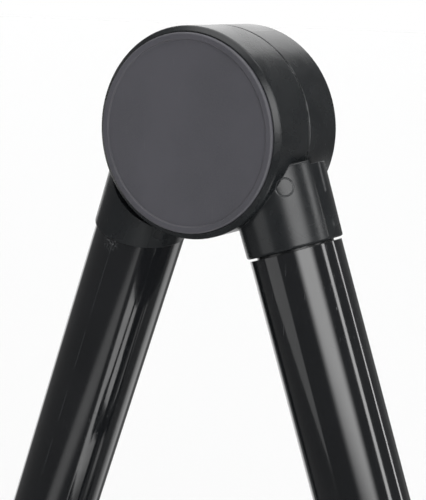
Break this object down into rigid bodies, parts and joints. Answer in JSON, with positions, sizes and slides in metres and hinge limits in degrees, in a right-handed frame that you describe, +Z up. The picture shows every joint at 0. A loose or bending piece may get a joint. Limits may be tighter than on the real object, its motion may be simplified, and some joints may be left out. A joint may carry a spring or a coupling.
{
  "type": "folding album stand",
  "caption": "Folding A-frame stand with round tube legs on a drum hinge, cross-bar feet, a padded back rest and swing-out ledge arms.",
  "frame": {"origin": "bottom centre of the open stand's box, on the floor", "axes": "+Z up, hinge axis along X, album side towards -Y"},
  "size_m": [0.292, 0.34, 0.3907],
  "materials": {
    "moulded_black": "satin moulded black plastic",
    "cap_grey": "fine matte dark grey plastic",
    "gloss_tube": "gloss black powder coat",
    "steel": "zinc plated",
    "black_screw": "black zinc",
    "nylon": "natural nylon",
    "soft_rubber": "matte rubber",
    "foam": "closed-cell foam"
  },
  "bodies": {
    "front_frame": {"front_hinge_half": "moulded_black", "left_hinge_cap": "cap_grey", "pivot_bolt": "steel", "pivot_washer": "steel", "disc_spring": "steel", "lock_nut": "steel", "friction_disc": "nylon", "stop_pin": "steel", "front_leg_tube": "gloss_tube", "front_leg_screws": "black_screw", "front_foot_joint": "moulded_black", "front_foot_bar": "gloss_tube", "front_foot_screw": "black_screw", "front_left_foot": "soft_rubber", "front_right_foot": "soft_rubber", "ledge_bracket": "moulded_black", "backrest_bracket": "moulded_black", "bracket_screws": "black_screw", "ledge_bar": "gloss_tube", "backrest_bar": "gloss_tube", "left_backrest_sleeve": "foam", "right_backrest_sleeve": "foam", "backrest_bar_caps": "moulded_black", "ledge_bar_caps": "moulded_black", "arm_stop_pins": "steel", "arm_wave_washers": "steel"},
    "rear_frame": {"rear_hinge_half": "moulded_black", "rear_leg_tube": "gloss_tube", "rear_leg_screws": "black_screw", "rear_foot_joint": "moulded_black", "rear_foot_bar": "gloss_tube", "rear_foot_screw": "black_screw", "rear_left_foot": "soft_rubber", "rear_right_foot": "soft_rubber", "right_hinge_cap": "cap_grey"},
    "left_support": {"left_arm": "moulded_black", "left_arm_pad": "soft_rubber"},
    "right_support": {"right_arm": "moulded_black", "right_arm_pad": "soft_rubber"}
  },
  "joints": [
    {"name": "main_fold", "type": "hinge", "parent": "front_frame", "child": "rear_frame", "pos_m": [0, 0.02272, 0.36276], "axis": [1, 0, 0], "range_deg": [-38, 0]},
    {"name": "left_arm_swing", "type": "hinge", "parent": "front_frame", "child": "left_support", "pos_m": [-0.078, -0.10738, 0.10085], "axis": [1, 0, 0], "range_deg": [-90, 0]},
    {"name": "right_arm_swing", "type": "hinge", "parent": "front_frame", "child": "right_support", "pos_m": [0.078, -0.10738, 0.10085], "axis": [1, 0, 0], "range_deg": [-90, 0]}
  ]
}
